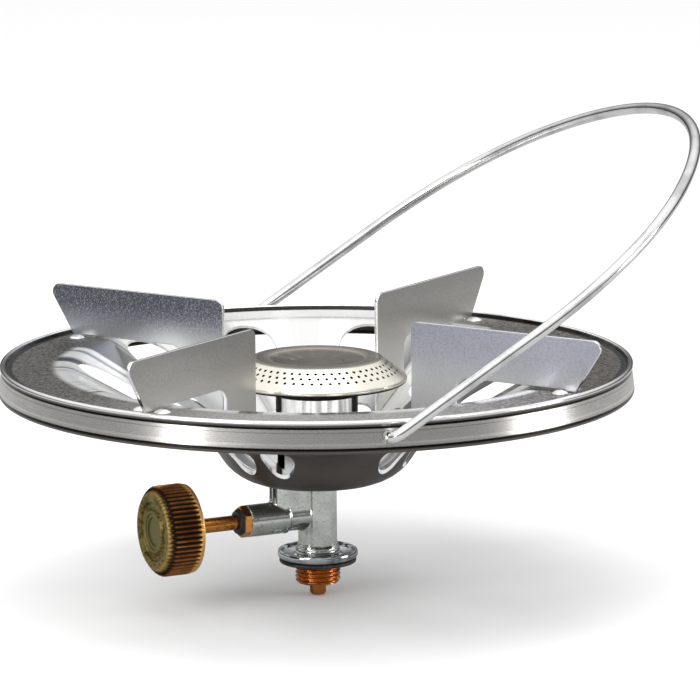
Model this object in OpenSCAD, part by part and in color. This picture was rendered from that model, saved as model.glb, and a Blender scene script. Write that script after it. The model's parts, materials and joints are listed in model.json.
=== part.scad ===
// Camping gas stove that screws straight onto a refillable gas cylinder.
// Millimetres, +Z up. The origin lies on the burner axis at the underside of the rubber gasket,
// which is the plane that rests on the cylinder.
// The bail hinges about Y. The valve branch points towards -X, turned a little towards -Y.

/* [General] */
// Height of the spindle axis above the gasket underside
spindle_height = 17.4; // [15:0.1:21]
// Height of the dish floor's underside above the spindle axis
floor_rise = 12.2; // [11.7:0.1:14]
// Thickness of the pressed sheet of dish, burner and neck
sheet = 0.8; // [0.6:0.1:0.9]

/* [Dish rim] */
// Radius of the rounded top bead of the rim
rim_radius = 111.5; // [92:0.5:134]
// Height of the rim band from the bead down to the hem
band_height = 11.2; // [9.6:0.1:14]
// How far the band steps in under the bead
band_step = 0.5; // [0.2:0.1:0.7]
// How much wider the band is at the hem than under the bead
band_flare = 1; // [0:0.1:2]
// Radius of the rounded bead
bead_radius = 1.05; // [0.9:0.05:1.6]
// Radius of the rolled hem
hem_radius = 1.5; // [1.2:0.1:2]
// Drop of the flat ring below the bead
ring_drop = 1.5; // [1:0.1:1.9]
// Distance from the flat ring's inner edge out to the bead's outside
ring_width = 21.5; // [19:0.5:27]

/* [Dish bowl] */
// Rounding between the flat ring and the bowl wall
shoulder_radius = 12; // [6:0.5:20]
// Radius at which the bowl wall gets steeper
knee_radius = 37; // [36.5:0.5:41]
// Drop of that knee below the bead
knee_drop = 28.2; // [26:0.1:30]
// Drop of the upper face of the bowl floor below the bead
floor_drop = 42.8; // [40:0.2:48]
// Radius of the flat floor
floor_radius = 18; // [15:0.5:19]
// Rounding between the floor and the lower wall
floor_rounding = 18; // [12:0.5:19]

/* [Dish openings] */
// Number of long vents round the bowl wall
vent_count = 11; // [6:1:11]
// Direction of the first vent
vent_angle = 64.2; // [0:0.1:90]
// Width of a vent
vent_width = 18.5; // [12:0.5:20]
// Smallest distance of a vent from the axis
vent_inner = 49.5; // [48:0.5:54]
// Distance of the vents' outer ends from the flat ring
vent_margin = 5; // [4:0.5:12]
// Diameter of the low draught holes beside the pot support legs
draught_diameter = 12; // [8:0.5:12.5]
// Distance of the draught holes from the axis
draught_circle = 38.5; // [37:0.5:40]
// Half angle between the two draught holes of a pair
draught_spread = 12; // [11.5:0.5:16]

/* [Pot supports] */
// Thickness of a pot support plate
plate_thickness = 1.5; // [1:0.1:2.5]
// Height of the plates above the bead
plate_rise = 17.1; // [12:0.1:26]
// Distance of the inner edge of a plate from the axis
plate_inner = 39.5; // [38:0.5:42]
// How far the plates reach out past the bead
plate_overhang = 3; // [0:0.5:6]
// Distance of the foot from the bead's outside
foot_inset = 6.4; // [5:0.1:8]
// Width of the foot
foot_width = 4; // [3:0.5:8]
// Width of the inner leg
leg_width = 18; // [12:0.5:20]
// Height of the plate's lower edge above the flat ring
plate_clearance = 0.6; // [0.4:0.1:2]
// Rounding of the upper corners
plate_corner = 3; // [2:0.5:7]
// Rounding between the lower edge and the leg
arch_corner = 4.5; // [2:0.5:8]
// Gap between the leg and the bowl wall
leg_gap = 0.3; // [0.2:0.05:0.5]
// Radius of the pressed domes beside the foot
dome_radius = 3; // [1.5:0.1:3.5]
// Height of those domes
dome_height = 1.2; // [0.8:0.1:1.4]
// Gap between a dome and the plate
dome_gap = 0.6; // [0.3:0.1:1.5]

/* [Bail] */
// Diameter of the wire
wire_diameter = 4; // [3:0.1:5]
// Drop of the hinge axis below the bead
pivot_drop = 5.5; // [5.2:0.1:6]
// Radial clearance between the wire and its hole
pivot_clearance = 0.08; // [0.05:0.01:0.1]
// Distance of the bail legs from the bead's outside
bail_side_gap = 6.5; // [6:0.5:14]
// How far the lowered bail reaches out past the bead
bail_overreach = 46.5; // [36:0.5:60]
// Distance of the centres of the two outer bends from the middle plane
bail_bend_offset = 28; // [20:1:40]
// How far the middle of the crown stands ahead of the outer bends
bail_crown_depth = 10; // [6:1:14]
// Radius of the tight bend at each end
bail_end_bend = 4; // [3:0.5:5]
// Distance the wire ends reach inside the band
bail_end_inside = 4; // [3:0.5:8]
// Angle of the bail above level
bail_angle = 34; // [0:0.5:60]

/* [Burner] */
// Radius of the burner lip
lip_radius = 32; // [28:0.5:36]
// Radius of the rolled lip's section
lip_roll = 1.3; // [1.1:0.1:1.6]
// Radius of the raised top ring
crown_radius = 22.5; // [18:0.5:25]
// Height of the raised top ring above the bead
crown_rise = 0.7; // [0.2:0.1:4]
// Depth of the hollow in the top
crown_hollow = 1.8; // [0.8:0.1:2.5]
// Drop of the lip's underside below the bead
lip_drop = 8.2; // [7.4:0.1:9]
// Depth of the burner cup below the lip
cup_depth = 3.9; // [3:0.1:5]
// Ports in each row
port_count = 56; // [40:1:72]
// Diameter of a port
port_diameter = 1.15; // [0.8:0.05:1.4]
// Distance between the rows of ports
port_pitch = 2.3; // [1.8:0.1:2.6]
// Outer radius of the burner neck
neck_radius = 14.5; // [13.5:0.1:16]
// Distance of the two air windows from the neck's floor plate
window_low = 4; // [3:0.5:8]
// Distance of the windows from the neck's top
window_high = 6.7; // [4:0.1:10]
// Half angle of an air window
window_half_angle = 26; // [10:1:35]

/* [Valve body] */
// Radius of the upright column
column_radius = 6.9; // [6.7:0.1:8]
// Direction of the valve branch
branch_angle = 194.2; // [180:0.1:210]
// Radius of the branch near the column
branch_radius = 5.2; // [5:0.1:6]
// Radius of the thicker end of the branch
branch_end_radius = 5.7; // [5.3:0.1:6.5]
// Distance from the column axis at which the branch gets thicker
branch_step = 13; // [11:0.5:16]
// Distance of the branch end from the column axis
branch_length = 28; // [26:0.5:30]
// Radius of the fixing lug
lug_radius = 4.6; // [4:0.1:5]
// Distance of the fixing lug from the column axis
lug_distance = 13.9; // [12:0.1:14.5]
// Distance of the fixing screw from the neck's outside
screw_inset = 4.3; // [3.7:0.1:4.6]

/* [Spindle and knob] */
// Radius of the spindle
spindle_radius = 2.6; // [2.2:0.1:3]
// Radial clearance of the spindle in its bores
spindle_clearance = 0.06; // [0.03:0.01:0.1]
// Width of the gland nut across its flats
gland_flats = 10; // [9.5:0.5:11]
// Length of the gland nut's hexagon
gland_length = 2.6; // [2:0.1:4]
// Length of the dust ring
dust_length = 1.4; // [1:0.1:3]
// Distance of the knob's back face from the column axis
knob_start = 50.8; // [46:0.1:56]
// Length of the knob
knob_length = 13.4; // [11:0.1:18]
// Radius over the knob's ribs
knob_radius = 16; // [13:0.1:16.6]
// Number of ribs round the knob
knob_ribs = 54; // [24:1:60]
// Depth of the grooves between the ribs
knob_groove = 0.9; // [0.4:0.1:1.4]
// Radius of the recess in the knob's face
knob_recess = 10.4; // [9:0.1:11]
// Radius of the knob's centre cap
cap_radius = 6.4; // [5:0.1:7]

/* [Cylinder connector] */
// Crest radius of the connector thread
thread_radius = 8; // [8:0.5:8]
// Chamfer at the start of the thread
thread_chamfer = 0.9; // [0.3:0.1:1.5]
// Length of the connector below the gasket
thread_length = 7.5; // [5:0.5:10]
// Radius of the connector's upper stem
stem_radius = 5.4; // [5:0.1:5.6]
// Radial clearance between parts pushed or screwed together
joint_clearance = 0.05; // [0.02:0.01:0.1]
// Thickness of the gasket
gasket_thickness = 1.3; // [1:0.1:2.5]
// Outer radius of the gasket
gasket_radius = 13.7; // [12:0.1:14]
// Radius of the collar
collar_radius = 14.3; // [13.2:0.1:17]
// Height of the collar's raised edge
collar_height = 3.2; // [2.6:0.1:4]
// Thickness of the collar's hub
collar_hub = 2; // [1.5:0.1:2.4]
// Radius of the push pin
pin_radius = 2.85; // [2.4:0.05:3]
// How far the pin stands out of the connector
pin_reach = 4.3; // [2:0.1:5]

/* [Hidden] */
$fn = 96;
eps = 0.01;

steel = [0.78, 0.79, 0.8];
plate_steel = [0.7, 0.71, 0.74];
nickel = [0.62, 0.65, 0.62];
brass = [0.78, 0.5, 0.25];
bronze = [0.6, 0.46, 0.2];
rubber = [0.08, 0.08, 0.08];

// Heights above the origin
rim_height = spindle_height + floor_rise + sheet + floor_drop;
ring_z = rim_height - ring_drop;
pivot_z = rim_height - pivot_drop;
floor_z = rim_height - floor_drop;
floor_under_z = floor_z - sheet;
collar_z = gasket_thickness;
column_z = collar_z + collar_hub;
neck_plate_z = floor_z + sheet;
lip_z = rim_height - lip_drop;
cup_low_z = lip_z - cup_depth;

// Distances from the burner axis
ring_inner = rim_radius - ring_width;
vent_outer = ring_inner - vent_margin;
plate_outer = rim_radius + plate_overhang;
foot_outer = rim_radius - foot_inset;
screw_distance = neck_radius - screw_inset;

// Fixing screw, slots and gas passages
screw_radius = 1.5;
screw_hole = 1.7;
screw_length = 5;
screw_head_radius = 2.7;
screw_head = 2;
slot_width = 0.8;
slot_depth = 0.9;
gas_bore = 1.2;

// Jet
jet_hole = 3.1;
jet_thread_length = 6;
jet_flats = 8;
jet_hexagon = 3.5;
jet_nose = 2.5;
jet_nose_radius = 2.8;
jet_tip_radius = 1.4;
jet_cone = 1.6;
jet_bore = 1.3;
jet_orifice = 0.3;

// Connector, pin and strainer
stem_length = 6;
stem_bore = 2;
pin_seat = 1;
strainer_radius = 4.1;
strainer_height = 2;
thread_relief = 0.5;
pin_chamfer = 0.5;
pin_gas_bore = 1;
pin_side_bore = 0.7;

// Spindle axis, as distances from the column axis
bore_start = 7;
needle_length = 2.8;
needle_tip_radius = 0.6;
packing_start = 17;
packing_length = 3;
packing_radius = 4;
gland_end = branch_length + gland_length;
dust_end = gland_end + dust_length;
knob_end = knob_start + knob_length;
spindle_end_depth = 6;
spindle_end = knob_end - spindle_end_depth;
spindle_bore = spindle_radius + spindle_clearance;
cap_depth = 2.4;
knob_screw_depth = 4.6;
knob_screw_radius = 1.15;

function unit(a, b) = (b - a) / norm(b - a);
function right_of(d) = [d[1], -d[0]];
function arc(c, r, a0, a1, n) =
    [for (i = [0 : n]) let (a = a0 + (a1 - a0) * i / n) c + r * [cos(a), sin(a)]];
function blend(p, q, r, n) =
    [for (i = [0 : n]) let (t = i / n) (1 - t) * (1 - t) * p + 2 * t * (1 - t) * q + t * t * r];
// Path moved sideways to its right by t, with mitred corners
function moved(path, t) = [
    for (i = [0 : len(path) - 1])
        let (
            d0 = i > 0 ? unit(path[i - 1], path[i]) : unit(path[0], path[1]),
            d1 = i < len(path) - 1 ? unit(path[i], path[i + 1]) : d0,
            n0 = right_of(d0),
            m = unit([0, 0], n0 + right_of(d1))
        ) path[i] + m * t / (m * n0)
];
function reversed(path) = [for (i = [len(path) - 1 : -1 : 0]) path[i]];
function sheet_outline(path) = concat(path, reversed(moved(path, sheet)));

// Dish section: the seen side, from the floor hole outwards over the bead to the hem
knee = [knee_radius, rim_height - knee_drop];
floor_centre = [floor_radius, floor_z + floor_rounding];
floor_to_knee = norm(knee - floor_centre);
floor_end_angle = atan2(knee[1] - floor_centre[1], knee[0] - floor_centre[0])
    - acos(floor_rounding / floor_to_knee);
shoulder_centre = [ring_inner, ring_z - shoulder_radius];
knee_to_shoulder = norm(shoulder_centre - knee);
wall_angle = atan2(shoulder_centre[1] - knee[1], shoulder_centre[0] - knee[0])
    + asin(shoulder_radius / knee_to_shoulder);
lower_angle = 90 + floor_end_angle;
floor_to_tangent = sqrt(pow(floor_to_knee, 2) - pow(floor_rounding, 2));
knee_in = knee - 0.85 * floor_to_tangent * [cos(lower_angle), sin(lower_angle)];
knee_out = knee + 7 * [cos(wall_angle), sin(wall_angle)];
bead_centre = [rim_radius - bead_radius, rim_height - bead_radius];
band_top = [rim_radius - band_step, rim_height - 2 * bead_radius];
hem_centre = [
    rim_radius - band_step + band_flare - hem_radius,
    rim_height - band_height + hem_radius
];
bowl_path = concat(
    [[jet_hole, floor_z]],
    arc(floor_centre, floor_rounding, -90, floor_end_angle, 7),
    blend(knee_in, knee, knee_out, 5),
    arc(shoulder_centre, shoulder_radius, 90 + wall_angle, 90, 7)
);
bead_start = bead_centre + bead_radius * [cos(150), sin(150)];
rim_path = concat(
    [[bead_start[0] - (bead_start[1] - ring_z) / tan(60), ring_z]],
    arc(bead_centre, bead_radius, 150, -35, 12),
    [band_top],
    arc(hem_centre, hem_radius, 0, -120, 8)
);
dish_path = concat(bowl_path, rim_path);

// Burner cap section: the seen side, from the middle outwards to the turned-in lip
crown_z = rim_height + crown_rise;
side_top = [crown_radius + 0.9, crown_z - 0.5];
side_end = [lip_radius - 1.6, lip_z + 3];
side_slope = unit(side_top, side_end);
cap_path = concat(
    [[0, crown_z - crown_hollow], [9, crown_z - crown_hollow + 0.1]],
    [[10, crown_z - crown_hollow + 0.5], [15.5, crown_z - 0.9]],
    [[17, crown_z - 0.3], [19, crown_z], [crown_radius - 0.6, crown_z]],
    [[crown_radius + 0.3, crown_z - 0.15], side_top, side_end],
    arc([lip_radius - lip_roll, lip_z + lip_roll], lip_roll, 40, -90, 8),
    [[lip_radius - 2.8, lip_z]]
);
cup_path = [
    [neck_radius - 2, cup_low_z + sheet], [neck_radius + 1.5, cup_low_z + sheet],
    [lip_radius - 8, lip_z + 2 * sheet], [lip_radius - 1.9, lip_z + 2 * sheet]
];

// Bail outline
bail_half_width = rim_radius + bail_side_gap;
bail_reach = rim_radius + bail_overreach;
bail_bend = bail_half_width - bail_bend_offset;
bail_leg = bail_reach - bail_bend - bail_crown_depth;
bail_crown = bail_bend
    + (pow(bail_crown_depth, 2) + pow(bail_bend_offset, 2)) / (2 * bail_crown_depth);
bail_turn = atan2(bail_bend_offset, bail_leg - bail_reach + bail_crown);
wire_gap = 0.04;

module sheet_ring(path) {
    rotate_extrude() polygon(sheet_outline(path));
}

// Places children with +Z along the valve branch, at the given distance from the column axis
module along_branch(distance) {
    translate([0, 0, spindle_height])
        rotate([0, 0, branch_angle])
            rotate([0, 90, 0])
                translate([0, 0, distance])
                    children();
}

module rod(r, from, to) {
    translate([0, 0, from]) cylinder(r = r, h = to - from);
}

module hexagon_prism(flats, height) {
    cylinder(r = flats / sqrt(3), h = height, $fn = 6);
}

module vent_cutter() {
    end_radius = vent_width / 2;
    translate([0, 0, floor_z - 5]) linear_extrude(rim_height - floor_z + 10) {
        translate([vent_inner + end_radius, 0]) circle(r = end_radius);
        translate([vent_outer - end_radius, 0]) circle(r = end_radius);
        translate([vent_inner + end_radius, -end_radius])
            square([vent_outer - vent_inner - vent_width, vent_width]);
    }
}

module foot_dome() {
    ball = (pow(dome_radius, 2) + pow(dome_height, 2)) / (2 * dome_height);
    intersection() {
        translate([0, 0, dome_height - ball]) sphere(r = ball);
        translate([0, 0, -sheet / 2]) cylinder(r = dome_radius, h = 2 * dome_height);
    }
}

module dish() {
    color(steel) {
        difference() {
            sheet_ring(dish_path);
            for (i = [0 : vent_count - 1])
                rotate([0, 0, vent_angle + i * 360 / vent_count]) vent_cutter();
            for (i = [0 : 3], side = [-1, 1])
                rotate([0, 0, 45 + 90 * i + side * draught_spread])
                    translate([draught_circle, 0, floor_under_z - 1])
                        cylinder(d = draught_diameter, h = rim_height - floor_z);
            rotate([0, 0, branch_angle])
                translate([screw_distance, 0, floor_under_z - 1])
                    cylinder(r = screw_hole, h = sheet + 2);
            for (side = [-1, 1])
                translate([0, side * (rim_radius - bail_end_inside), pivot_z])
                    rotate([-90 * side, 0, 0])
                        cylinder(r = wire_diameter / 2 + pivot_clearance, h = bail_end_inside + 5);
        }
        for (i = [0 : 3], side = [-1, 1])
            rotate([0, 0, 45 + 90 * i])
                translate([
                    foot_outer - foot_width,
                    side * (plate_thickness / 2 + dome_gap + dome_radius),
                    ring_z
                ])
                    foot_dome();
    }
}

// Flat outline of a pot support: x is the distance from the axis, y the height
module plate_outline() {
    top = rim_height + plate_rise;
    edge = ring_z + plate_clearance;
    leg_outer = plate_inner + leg_width;
    foot_inner = foot_outer - foot_width;
    outer_corner = [plate_outer - plate_corner, top - plate_corner];
    foot_to_corner = outer_corner - [foot_outer, ring_z];
    side_angle = atan2(foot_to_corner[1], foot_to_corner[0])
        - asin(plate_corner / norm(foot_to_corner));
    difference() {
        polygon(concat(
            [[plate_inner, floor_z], [leg_outer, floor_z]],
            arc([leg_outer + arch_corner, edge - arch_corner], arch_corner, 180, 90, 6),
            [[foot_inner, edge], [foot_inner, ring_z], [foot_outer, ring_z]],
            arc(outer_corner, plate_corner, side_angle - 90, 90, 9),
            arc([plate_inner + plate_corner, top - plate_corner], plate_corner, 90, 180, 6)
        ));
        polygon(concat(
            moved(bowl_path, -leg_gap),
            [[ring_inner, floor_z - 20], [jet_hole, floor_z - 20]]
        ));
    }
}

module pot_support(index) {
    color(plate_steel)
        rotate([0, 0, 45 + 90 * (index - 1)])
            translate([0, plate_thickness / 2, 0])
                rotate([90, 0, 0])
                    linear_extrude(plate_thickness) plate_outline();
}

module pot_support_1() {
    pot_support(1);
}

module pot_support_2() {
    pot_support(2);
}

module pot_support_3() {
    pot_support(3);
}

module pot_support_4() {
    pot_support(4);
}

module wire_arc(radius, from, to) {
    rotate([0, 0, from])
        rotate_extrude(angle = to - from)
            translate([radius, 0]) circle(d = wire_diameter);
}

// How many degrees an arc stops short of a ball that joins it on
function short_of_ball(radius) = asin(wire_gap / radius);

// One side of the bail, lying level with its hinge along Y
module bail_side() {
    end_y = rim_radius - bail_end_inside;
    translate([bail_reach - bail_crown, 0, 0])
        rotate([0, 0, bail_turn])
            translate([bail_crown, 0, 0]) sphere(d = wire_diameter + wire_gap);
    translate([bail_leg, bail_half_width - bail_bend, 0])
        mirror([1, -1, 0])
            wire_arc(bail_bend, 0, 90 - bail_turn - short_of_ball(bail_bend));
    translate([bail_end_bend, bail_half_width, 0])
        rotate([0, 90, 0])
            cylinder(d = wire_diameter, h = bail_leg - bail_end_bend);
    translate([bail_end_bend, bail_half_width - bail_end_bend, 0])
        wire_arc(bail_end_bend, 90, 180);
    translate([0, end_y, 0])
        rotate([-90, 0, 0])
            cylinder(d = wire_diameter, h = bail_half_width - bail_end_bend - end_y);
}

module bail() {
    color(steel)
        translate([0, 0, pivot_z])
            rotate([0, -bail_angle, 0]) {
                translate([bail_reach - bail_crown, 0, 0])
                    wire_arc(
                        bail_crown,
                        short_of_ball(bail_crown) - bail_turn,
                        bail_turn - short_of_ball(bail_crown)
                    );
                bail_side();
                mirror([0, 1, 0]) bail_side();
            }
}

module burner_cap() {
    first_row = 1.9;
    color(steel)
        difference() {
            sheet_ring(cap_path);
            for (row = [0 : 2], i = [0 : port_count - 1]) {
                at = side_top + (first_row + row * port_pitch) * side_slope;
                rotate([0, 0, (i + 0.3 * row) * 360 / port_count])
                    translate([at[0], 0, at[1]])
                        rotate([0, atan2(-side_slope[1], side_slope[0]), 0])
                            translate([0, 0, -2])
                                cylinder(d = port_diameter, h = 4, $fn = 24);
            }
        }
}

module burner_cup() {
    color(steel) sheet_ring(cup_path);
}

module burner_neck() {
    window_width = 2 * neck_radius * sin(window_half_angle);
    window_z = neck_plate_z + window_low;
    color(steel)
        difference() {
            rod(neck_radius, floor_z, cup_low_z);
            rod(neck_radius - sheet, neck_plate_z, cup_low_z + 1);
            rod(jet_hole, floor_z - 1, neck_plate_z + 1);
            rotate([0, 0, branch_angle])
                translate([screw_distance, 0, floor_z - 1])
                    cylinder(r = screw_hole, h = sheet + 2);
            translate([-neck_radius - 1, -window_width / 2, window_z])
                cube([2 * neck_radius + 2, window_width, cup_low_z - window_high - window_z]);
        }
}

module jet() {
    nose_z = neck_plate_z + jet_hexagon + jet_nose;
    color(brass)
        difference() {
            union() {
                rod(jet_hole - joint_clearance, floor_under_z - jet_thread_length, neck_plate_z);
                translate([0, 0, neck_plate_z]) hexagon_prism(jet_flats, jet_hexagon);
                rod(jet_nose_radius, neck_plate_z + jet_hexagon - eps, nose_z);
                translate([0, 0, nose_z])
                    cylinder(r1 = jet_nose_radius, r2 = jet_tip_radius, h = jet_cone);
            }
            rod(jet_bore, floor_under_z - jet_thread_length - 1, nose_z);
            rod(jet_orifice, neck_plate_z, nose_z + jet_cone + 1);
        }
}

module fixing_screw() {
    color(steel)
        rotate([0, 0, branch_angle])
            translate([screw_distance, 0, 0])
                difference() {
                    union() {
                        rod(screw_radius, floor_under_z - screw_length, neck_plate_z);
                        rod(screw_head_radius, neck_plate_z, neck_plate_z + screw_head);
                    }
                    translate([
                        -screw_head_radius - 1, -slot_width / 2,
                        neck_plate_z + screw_head - slot_depth
                    ])
                        cube([2 * screw_head_radius + 2, slot_width, screw_head]);
                }
}

module valve_body() {
    foot_flange = 1;
    foot_flange_height = 1.6;
    inlet_bore = 1.5;
    color(nickel)
        difference() {
            union() {
                rod(column_radius, column_z, floor_under_z);
                rod(column_radius + foot_flange, column_z, column_z + foot_flange_height);
                along_branch(0) rod(branch_radius, 0, branch_step);
                along_branch(0) rod(branch_end_radius, branch_step - eps, branch_length);
                rotate([0, 0, branch_angle])
                    translate([lug_distance, 0, 0])
                        rod(lug_radius, spindle_height, floor_under_z);
                rotate([0, 0, branch_angle])
                    translate([0, -lug_radius, spindle_height])
                        cube([lug_distance, 2 * lug_radius, floor_rise]);
            }
            rod(stem_radius + joint_clearance, column_z - 1, column_z + stem_length + 0.4);
            rod(inlet_bore, column_z, spindle_height);
            rod(jet_hole, floor_under_z - jet_thread_length - 0.5, floor_under_z + 1);
            rod(gas_bore, spindle_height, floor_under_z);
            along_branch(0) rod(gas_bore, 0, bore_start + 1);
            along_branch(0) rod(spindle_bore, bore_start, branch_length + 1);
            along_branch(0) rod(packing_radius + joint_clearance, packing_start, branch_length + 1);
            rotate([0, 0, branch_angle])
                translate([screw_distance, 0, 0])
                    rod(
                        screw_radius + joint_clearance,
                        floor_under_z - screw_length - 0.5, floor_under_z + 1
                    );
        }
}

module packing_ring() {
    color(rubber)
        along_branch(packing_start)
            difference() {
                cylinder(r = packing_radius, h = packing_length);
                translate([0, 0, -1]) cylinder(r = spindle_bore, h = packing_length + 2);
            }
}

module gland_nut() {
    stem_start = packing_start + packing_length;
    color(brass)
        along_branch(0)
            difference() {
                union() {
                    rod(packing_radius, stem_start, branch_length + eps);
                    intersection() {
                        translate([0, 0, branch_length]) hexagon_prism(gland_flats, gland_length);
                        translate([0, 0, branch_length])
                            cylinder(
                                r1 = gland_flats / 2 + gland_length + 0.6,
                                r2 = gland_flats / 2 + 0.2,
                                h = gland_length
                            );
                    }
                }
                rod(spindle_bore, stem_start - 1, gland_end + 1);
            }
}

module dust_ring() {
    color(rubber)
        along_branch(gland_end)
            difference() {
                cylinder(r1 = gland_flats / 2 - 0.1, r2 = spindle_radius + 1.4, h = dust_length);
                translate([0, 0, -1]) cylinder(r = spindle_bore, h = dust_length + 2);
            }
}

// The thread of the spindle is drawn as plain grooves
module spindle() {
    needle_start = bore_start - 0.6;
    groove_count = 6;
    groove_pitch = 1;
    groove_width = 0.4;
    groove_depth = 0.3;
    color(brass)
        along_branch(0)
            difference() {
                union() {
                    translate([0, 0, needle_start])
                        cylinder(r1 = needle_tip_radius, r2 = spindle_radius, h = needle_length);
                    rod(spindle_radius, needle_start + needle_length, spindle_end);
                }
                for (i = [0 : groove_count - 1])
                    translate([0, 0, bore_start + 3 + i * groove_pitch])
                        difference() {
                            cylinder(r = spindle_radius + 1, h = groove_width);
                            translate([0, 0, -1])
                                cylinder(r = spindle_radius - groove_depth, h = groove_width + 2);
                        }
                rod(knob_screw_radius + joint_clearance, spindle_end - 7, spindle_end + 1);
            }
}

module knob_section() {
    polygon([
        for (i = [0 : knob_ribs - 1], k = [0 : 3])
            let (
                a = (i + [0.06, 0.44, 0.58, 0.92][k]) * 360 / knob_ribs,
                r = k < 2 ? knob_radius : knob_radius - knob_groove
            ) r * [cos(a), sin(a)]
    ]);
}

module knob() {
    flange = 1.4;
    front_chamfer = 2.4;
    front_depth = 1.3;
    spindle_fit = 0.02;
    spindle_socket = knob_length - spindle_end_depth;
    screw_pocket = 3.2;
    screw_through = 1.4;
    color(bronze)
        along_branch(knob_start)
            difference() {
                union() {
                    cylinder(r = knob_radius - 0.3, h = flange);
                    intersection() {
                        translate([0, 0, flange - 0.2])
                            linear_extrude(knob_length - flange + 0.2) knob_section();
                        translate([0, 0, -knob_radius])
                            cylinder(
                                r1 = knob_radius + knob_length + knob_radius - front_chamfer,
                                r2 = knob_radius - front_chamfer,
                                h = knob_length + knob_radius
                            );
                    }
                }
                translate([0, 0, knob_length - front_depth])
                    difference() {
                        cylinder(r = knob_recess, h = front_depth + 1);
                        translate([0, 0, -1]) cylinder(r = cap_radius + 1.3, h = front_depth + 0.5);
                    }
                translate([0, 0, knob_length - cap_depth])
                    cylinder(r = cap_radius + joint_clearance, h = cap_depth + 1);
                translate([0, 0, knob_length - knob_screw_depth])
                    cylinder(r = screw_pocket, h = knob_screw_depth);
                translate([0, 0, -1])
                    cylinder(r = spindle_radius + spindle_fit, h = spindle_socket + 1);
                translate([0, 0, 1]) cylinder(r = screw_through, h = knob_length - 5);
            }
}

module knob_screw() {
    head_radius = 2.9;
    head_start = knob_end - knob_screw_depth;
    head_end = head_start + 1.8;
    color(steel)
        along_branch(0)
            difference() {
                union() {
                    rod(knob_screw_radius, spindle_end - 6, head_start);
                    rod(head_radius, head_start, head_end);
                }
                translate([-slot_width / 2, -head_radius - 1, head_end - 0.7])
                    cube([slot_width, 2 * head_radius + 2, 2]);
            }
}

module knob_cap() {
    cap_thickness = 1.8;
    cap_dish = 0.5;
    cap_rim = 1.2;
    color(bronze)
        along_branch(knob_end - cap_depth)
            difference() {
                cylinder(r = cap_radius, h = cap_thickness);
                translate([0, 0, cap_thickness - cap_dish])
                    cylinder(r = cap_radius - cap_rim, h = 1);
            }
}

module collar() {
    color(steel)
        rotate_extrude()
            polygon(concat(
                [[stem_radius + joint_clearance, collar_z]],
                [[collar_radius - 1, collar_z], [collar_radius - 0.3, collar_z + 0.4]],
                [[collar_radius, collar_z + 1.1]],
                [[collar_radius, collar_z + collar_height - 0.5]],
                [[collar_radius - 0.3, collar_z + collar_height]],
                [[collar_radius - 1, collar_z + collar_height]],
                [[column_radius + 2.6, column_z], [stem_radius + joint_clearance, column_z]]
            ));
}

module gasket() {
    color(rubber)
        difference() {
            rod(gasket_radius, 0, gasket_thickness);
            rod(thread_radius + joint_clearance, -1, gasket_thickness + 1);
        }
}

// The thread is drawn plain, at its crest radius
module connector() {
    pin_bore = pin_radius + joint_clearance;
    relief_radius = thread_radius - thread_relief;
    top = column_z + stem_length;
    color(brass)
        difference() {
            rotate_extrude()
                polygon([
                    [stem_bore, top], [stem_bore, -pin_seat],
                    [pin_bore, -pin_seat], [pin_bore, -thread_length],
                    [thread_radius - thread_chamfer, -thread_length],
                    [thread_radius, -thread_length + thread_chamfer], [thread_radius, 0],
                    [relief_radius, thread_relief], [relief_radius, collar_z],
                    [stem_radius, collar_z], [stem_radius, top]
                ]);
            rod(strainer_radius, top - strainer_height, top + 1);
        }
}

module push_pin() {
    low = -thread_length - pin_reach;
    color(brass)
        difference() {
            union() {
                rod(pin_radius, low + pin_chamfer, -pin_seat);
                translate([0, 0, low])
                    cylinder(r1 = pin_radius - pin_chamfer, r2 = pin_radius, h = pin_chamfer);
            }
            rod(pin_gas_bore, low + 1.6, 0);
            translate([-pin_radius - 1, 0, low + 2.4])
                rotate([0, 90, 0])
                    cylinder(r = pin_side_bore, h = 2 * pin_radius + 2);
        }
}

module filter_disc() {
    top = column_z + stem_length;
    color(bronze) rod(strainer_radius - joint_clearance, top - strainer_height, top);
}

dish();
pot_support_1();
pot_support_2();
pot_support_3();
pot_support_4();
bail();
burner_cap();
burner_cup();
burner_neck();
jet();
fixing_screw();
valve_body();
packing_ring();
gland_nut();
dust_ring();
spindle();
knob();
knob_screw();
knob_cap();
collar();
gasket();
connector();
push_pin();
filter_disc();
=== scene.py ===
"""Looks, studio and camera for a camping gas stove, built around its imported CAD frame."""

import json
import logging
import math
from collections.abc import Sequence
from dataclasses import dataclass, field
from enum import Enum

import bmesh
import bpy
from mathutils import Matrix, Vector


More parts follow.
